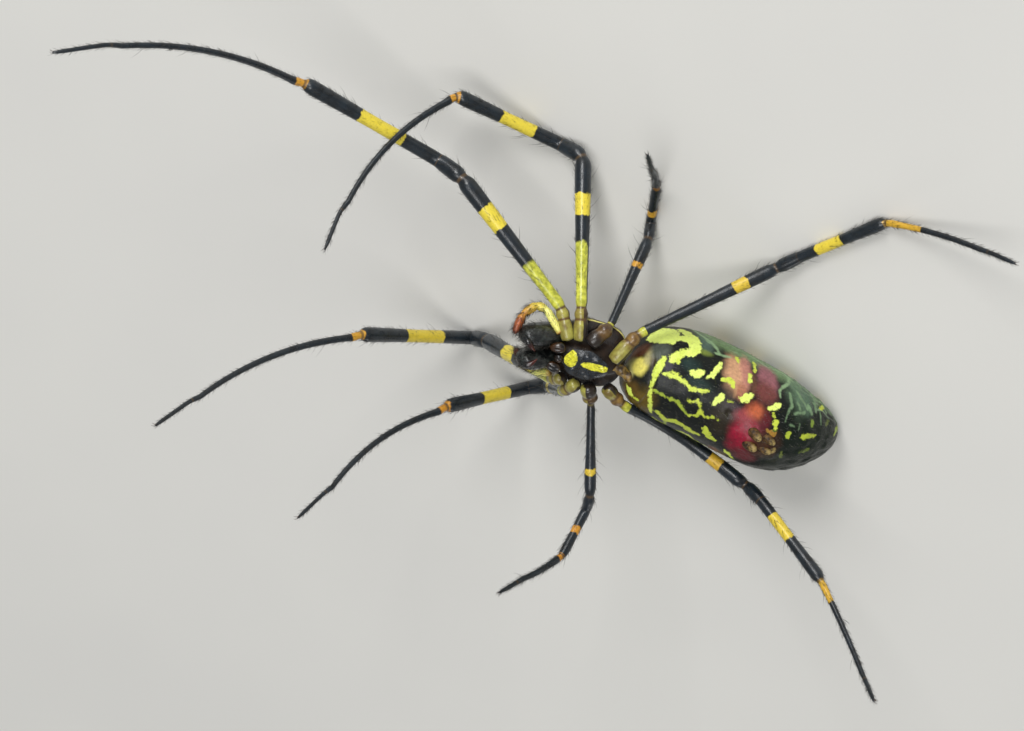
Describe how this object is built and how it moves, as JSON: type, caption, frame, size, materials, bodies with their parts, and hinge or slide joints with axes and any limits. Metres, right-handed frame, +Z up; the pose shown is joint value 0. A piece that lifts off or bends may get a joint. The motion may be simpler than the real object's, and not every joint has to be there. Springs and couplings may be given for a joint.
{
  "type": "spider model",
  "caption": "Life-size still model of an adult golden silk orb weaver lying on its back, legs raised and reaching as in its web.",
  "frame": {"origin": "middle of the footprint's box, on the floor that the back and the knees rest on", "axes": "+Z up, which is the spider's underside; the head points to -Y and the spider's right side is +X"},
  "size_m": [0.0334, 0.07, 0.0281],
  "materials": {
    "leg_shell": "glossy blue-black shell with lemon-yellow bands",
    "coxa_shell": "olive-yellow and brown glossy shell",
    "palp_shell": "yellow to orange-red shell",
    "jaw_shell": "glossy black shell",
    "eye_lens": "polished dark lens",
    "spinneret_skin": "matt tan-brown skin",
    "sternum_shell": "glossy dark shell with a yellow streak",
    "carapace_shell": "dark brown shell under short silver-grey hair",
    "abdomen_skin": "taut satin skin, yellow, black, green and crimson"
  },
  "bodies": {
    "root": {"leg_left_1_coxa": "coxa_shell", "leg_left_1_femur": "leg_shell", "leg_left_1_tibia": "leg_shell", "leg_left_1_metatarsus": "leg_shell", "leg_left_2_coxa": "coxa_shell", "leg_left_2_femur": "leg_shell", "leg_left_2_tibia": "leg_shell", "leg_left_2_metatarsus": "leg_shell", "leg_left_3_coxa": "coxa_shell", "leg_left_3_femur": "leg_shell", "leg_left_3_tibia": "leg_shell", "leg_left_3_metatarsus": "leg_shell", "leg_left_4_coxa": "coxa_shell", "leg_left_4_femur": "leg_shell", "leg_left_4_tibia": "leg_shell", "leg_left_4_metatarsus": "leg_shell", "pedipalp_left": "palp_shell", "chelicera_left": "jaw_shell", "fang_left": "jaw_shell", "maxilla_left": "coxa_shell", "eye_front_median_left": "eye_lens", "eye_rear_median_left": "eye_lens", "eye_front_lateral_left": "eye_lens", "eye_rear_lateral_left": "eye_lens", "spinneret_front_left": "spinneret_skin", "spinneret_rear_left": "spinneret_skin", "leg_right_1_coxa": "coxa_shell", "leg_right_1_femur": "leg_shell", "leg_right_1_tibia": "leg_shell", "leg_right_1_metatarsus": "leg_shell", "leg_right_2_coxa": "coxa_shell", "leg_right_2_femur": "leg_shell", "leg_right_2_tibia": "leg_shell", "leg_right_2_metatarsus": "leg_shell", "leg_right_3_coxa": "coxa_shell", "leg_right_3_femur": "leg_shell", "leg_right_3_tibia": "leg_shell", "leg_right_3_metatarsus": "leg_shell", "leg_right_4_coxa": "coxa_shell", "leg_right_4_femur": "leg_shell", "leg_right_4_tibia": "leg_shell", "leg_right_4_metatarsus": "leg_shell", "pedipalp_right": "palp_shell", "chelicera_right": "jaw_shell", "fang_right": "jaw_shell", "maxilla_right": "coxa_shell", "eye_front_median_right": "eye_lens", "eye_rear_median_right": "eye_lens", "eye_front_lateral_right": "eye_lens", "eye_rear_lateral_right": "eye_lens", "spinneret_front_right": "spinneret_skin", "spinneret_rear_right": "spinneret_skin", "sternum": "sternum_shell", "labium": "sternum_shell", "cephalothorax": "carapace_shell", "abdomen": "abdomen_skin", "pedicel": "carapace_shell"}
  },
  "joints": []
}
